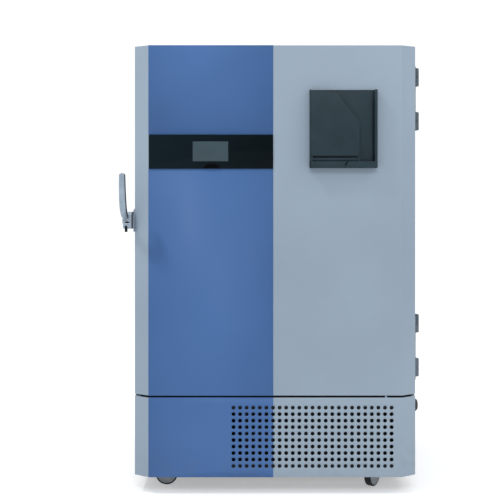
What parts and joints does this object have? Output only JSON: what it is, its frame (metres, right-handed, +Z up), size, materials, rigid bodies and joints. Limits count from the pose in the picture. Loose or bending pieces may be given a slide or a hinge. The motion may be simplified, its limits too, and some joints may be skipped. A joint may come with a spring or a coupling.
{
  "type": "upright ultra-low-temperature laboratory freezer",
  "caption": "Upright ultra-low-temperature lab freezer with a hinged insulated door, inner doors, lever handle, perforated front panel and swivel casters.",
  "frame": {"origin": "on the floor, under the middle of the object's own box", "axes": "+Z up, +X to the right of someone facing the door, -Y the way the door faces"},
  "size_m": [1.321, 1.113, 1.955],
  "materials": {
    "grey_paint": "satin powder coat, cool grey",
    "blue_paint": "satin powder coat, mid blue",
    "black_glass": "polished black acrylic",
    "screen_glass": "unlit grey display window",
    "holder_plastic": "satin black moulded plastic",
    "black_plastic": "satin black moulded plastic",
    "pale_plastic": "satin off-white moulded plastic",
    "foam": null,
    "gasket_rubber": "soft grey magnetic seal",
    "stainless": "brushed stainless sheet",
    "hinge_steel": "dark satin steel",
    "cast_handle": "light grey satin coat on a casting",
    "lock_steel": "dark satin steel",
    "chassis_steel": "black satin coat",
    "black_steel": "black satin coat",
    "zinc_steel": "bright zinc plate",
    "fin_aluminium": "mill finish",
    "filter": "coarse dark filter mesh",
    "fan_plastic": "matt black moulded plastic",
    "pedal_plastic": "matt black moulded plastic",
    "tyre": "matt black polyurethane tread"
  },
  "bodies": {
    "cabinet": {"outer_shell": "grey_paint", "insulation_block": "foam", "inner_liner": "stainless", "front_trim": "pale_plastic", "shelf_ladder_left": "stainless", "shelf_ladder_right": "stainless", "shelf_lower": "stainless", "shelf_middle": "stainless", "shelf_upper": "stainless", "base_frame": "chassis_steel", "side_cover_left": "grey_paint", "side_cover_right": "grey_paint", "rear_cover": "grey_paint", "first_stage_compressor": "black_steel", "second_stage_compressor": "black_steel", "condenser": "fin_aluminium", "filter_mat": "filter", "fan_shroud": "black_steel", "fan_motor": "black_steel", "electrical_box": "zinc_steel", "mains_inlet": "black_plastic", "rear_spacer_left": "black_plastic", "rear_spacer_right": "black_plastic", "port_plug": "black_plastic", "latch_strike": "hinge_steel", "upper_hinge_cabinet_leaf": "hinge_steel", "lower_hinge_cabinet_leaf": "hinge_steel"},
    "door": {"door_skin": "grey_paint", "door_insulation": "foam", "door_liner": "pale_plastic", "door_gasket": "gasket_rubber", "door_blue_film": "blue_paint", "control_band": "black_glass", "screen": "screen_glass", "indicator_window": "black_glass", "holder_back": "holder_plastic", "holder_front": "holder_plastic", "handle_bracket": "cast_handle", "upper_hinge_door_leaf": "hinge_steel", "lower_hinge_door_leaf": "hinge_steel"},
    "handle": {"handle_lever": "cast_handle"},
    "lock": {"lock_barrel": "lock_steel"},
    "front_panel": {"front_panel": "grey_paint", "front_panel_film": "blue_paint"},
    "side_knob": {"side_knob": "black_plastic"},
    "fan": {"fan_blades": "fan_plastic"},
    "inner_door_1": {"inner_door_1": "pale_plastic"},
    "inner_door_2": {"inner_door_2": "pale_plastic"},
    "inner_door_3": {"inner_door_3": "pale_plastic"},
    "inner_door_4": {"inner_door_4": "pale_plastic"},
    "caster_front_left": {"caster_front_left_fork": "zinc_steel"},
    "wheel_front_left": {"caster_front_left_wheel": "tyre"},
    "caster_front_right": {"caster_front_right_fork": "zinc_steel"},
    "wheel_front_right": {"caster_front_right_wheel": "tyre"},
    "caster_rear_left": {"caster_rear_left_fork": "zinc_steel"},
    "wheel_rear_left": {"caster_rear_left_wheel": "tyre"},
    "caster_rear_right": {"caster_rear_right_fork": "zinc_steel"},
    "wheel_rear_right": {"caster_rear_right_wheel": "tyre"},
    "brake_front_left": {"caster_front_left_brake": "pedal_plastic"},
    "brake_front_right": {"caster_front_right_brake": "pedal_plastic"}
  },
  "joints": [
    {"name": "door_hinge", "type": "hinge", "parent": "cabinet", "child": "door", "pos_m": [0.6465, -0.3185, 1.2], "axis": [0, 0, 1], "range_deg": [0, 105]},
    {"name": "handle_pivot", "type": "hinge", "parent": "door", "child": "handle", "pos_m": [-0.6075, -0.4085, 1.192], "axis": [1, 0, 0], "range_deg": [0, 50]},
    {"name": "lock_turn", "type": "hinge", "parent": "handle", "child": "lock", "pos_m": [-0.6375, -0.4085, 1.184], "axis": [0, 1, 0], "range_deg": [0, 90]},
    {"name": "front_panel_hinge", "type": "hinge", "parent": "cabinet", "child": "front_panel", "pos_m": [-0.6045, -0.4085, 0.25], "axis": [0, 0, -1], "range_deg": [0, 90]},
    {"name": "side_knob_turn", "type": "hinge", "parent": "cabinet", "child": "side_knob", "pos_m": [0.6248, -0.3505, 0.364], "axis": [1, 0, 0], "range_deg": [0, 90]},
    {"name": "fan_spin", "type": "hinge", "parent": "cabinet", "child": "fan", "pos_m": [0.17058, -0.2822, 0.2558], "axis": [0, 1, 0], "continuous": true},
    {"name": "inner_door_1_hinge", "type": "hinge", "parent": "cabinet", "child": "inner_door_1", "pos_m": [0.5007, -0.2765, 0.545], "axis": [0, 0, 1], "range_deg": [0, 90]},
    {"name": "inner_door_2_hinge", "type": "hinge", "parent": "cabinet", "child": "inner_door_2", "pos_m": [0.5007, -0.2765, 0.87125], "axis": [0, 0, 1], "range_deg": [0, 90]},
    {"name": "inner_door_3_hinge", "type": "hinge", "parent": "cabinet", "child": "inner_door_3", "pos_m": [0.5007, -0.2765, 1.1975], "axis": [0, 0, 1], "range_deg": [0, 90]},
    {"name": "inner_door_4_hinge", "type": "hinge", "parent": "cabinet", "child": "inner_door_4", "pos_m": [0.5007, -0.2765, 1.52375], "axis": [0, 0, 1], "range_deg": [0, 90]},
    {"name": "front_left_swivel", "type": "hinge", "parent": "cabinet", "child": "caster_front_left", "pos_m": [-0.4465, -0.3185, 0.115], "axis": [0, 0, 1], "continuous": true},
    {"name": "front_left_wheel_spin", "type": "hinge", "parent": "caster_front_left", "child": "wheel_front_left", "pos_m": [-0.4765, -0.3185, 0.05], "axis": [0, -1, 0], "continuous": true},
    {"name": "front_left_brake_pedal", "type": "hinge", "parent": "caster_front_left", "child": "brake_front_left", "pos_m": [-0.5105, -0.3185, 0.107], "axis": [0, -1, 0], "range_deg": [0, 25]},
    {"name": "front_right_swivel", "type": "hinge", "parent": "cabinet", "child": "caster_front_right", "pos_m": [0.4635, -0.3185, 0.115], "axis": [0, 0, 1], "continuous": true},
    {"name": "front_right_wheel_spin", "type": "hinge", "parent": "caster_front_right", "child": "wheel_front_right", "pos_m": [0.44629, -0.34308, 0.05], "axis": [0.8192, -0.5736, 0], "continuous": true},
    {"name": "front_right_brake_pedal", "type": "hinge", "parent": "caster_front_right", "child": "brake_front_right", "pos_m": [0.42679, -0.37093, 0.107], "axis": [0.8192, -0.5736, 0], "range_deg": [0, 25]},
    {"name": "rear_left_swivel", "type": "hinge", "parent": "cabinet", "child": "caster_rear_left", "pos_m": [-0.4465, 0.4015, 0.115], "axis": [0, 0, 1], "continuous": true},
    {"name": "rear_left_wheel_spin", "type": "hinge", "parent": "caster_rear_left", "child": "wheel_rear_left", "pos_m": [-0.4465, 0.4315, 0.05], "axis": [-1, 0, 0], "continuous": true},
    {"name": "rear_right_swivel", "type": "hinge", "parent": "cabinet", "child": "caster_rear_right", "pos_m": [0.4635, 0.4015, 0.115], "axis": [0, 0, 1], "continuous": true},
    {"name": "rear_right_wheel_spin", "type": "hinge", "parent": "caster_rear_right", "child": "wheel_rear_right", "pos_m": [0.4635, 0.4315, 0.05], "axis": [-1, 0, 0], "continuous": true}
  ],
  "couplings": [
    {"joint": "inner_door_1_hinge", "follows": "door_hinge", "ratio": 0.85},
    {"joint": "inner_door_2_hinge", "follows": "door_hinge", "ratio": 0.85},
    {"joint": "inner_door_3_hinge", "follows": "door_hinge", "ratio": 0.85},
    {"joint": "inner_door_4_hinge", "follows": "door_hinge", "ratio": 0.85}
  ]
}
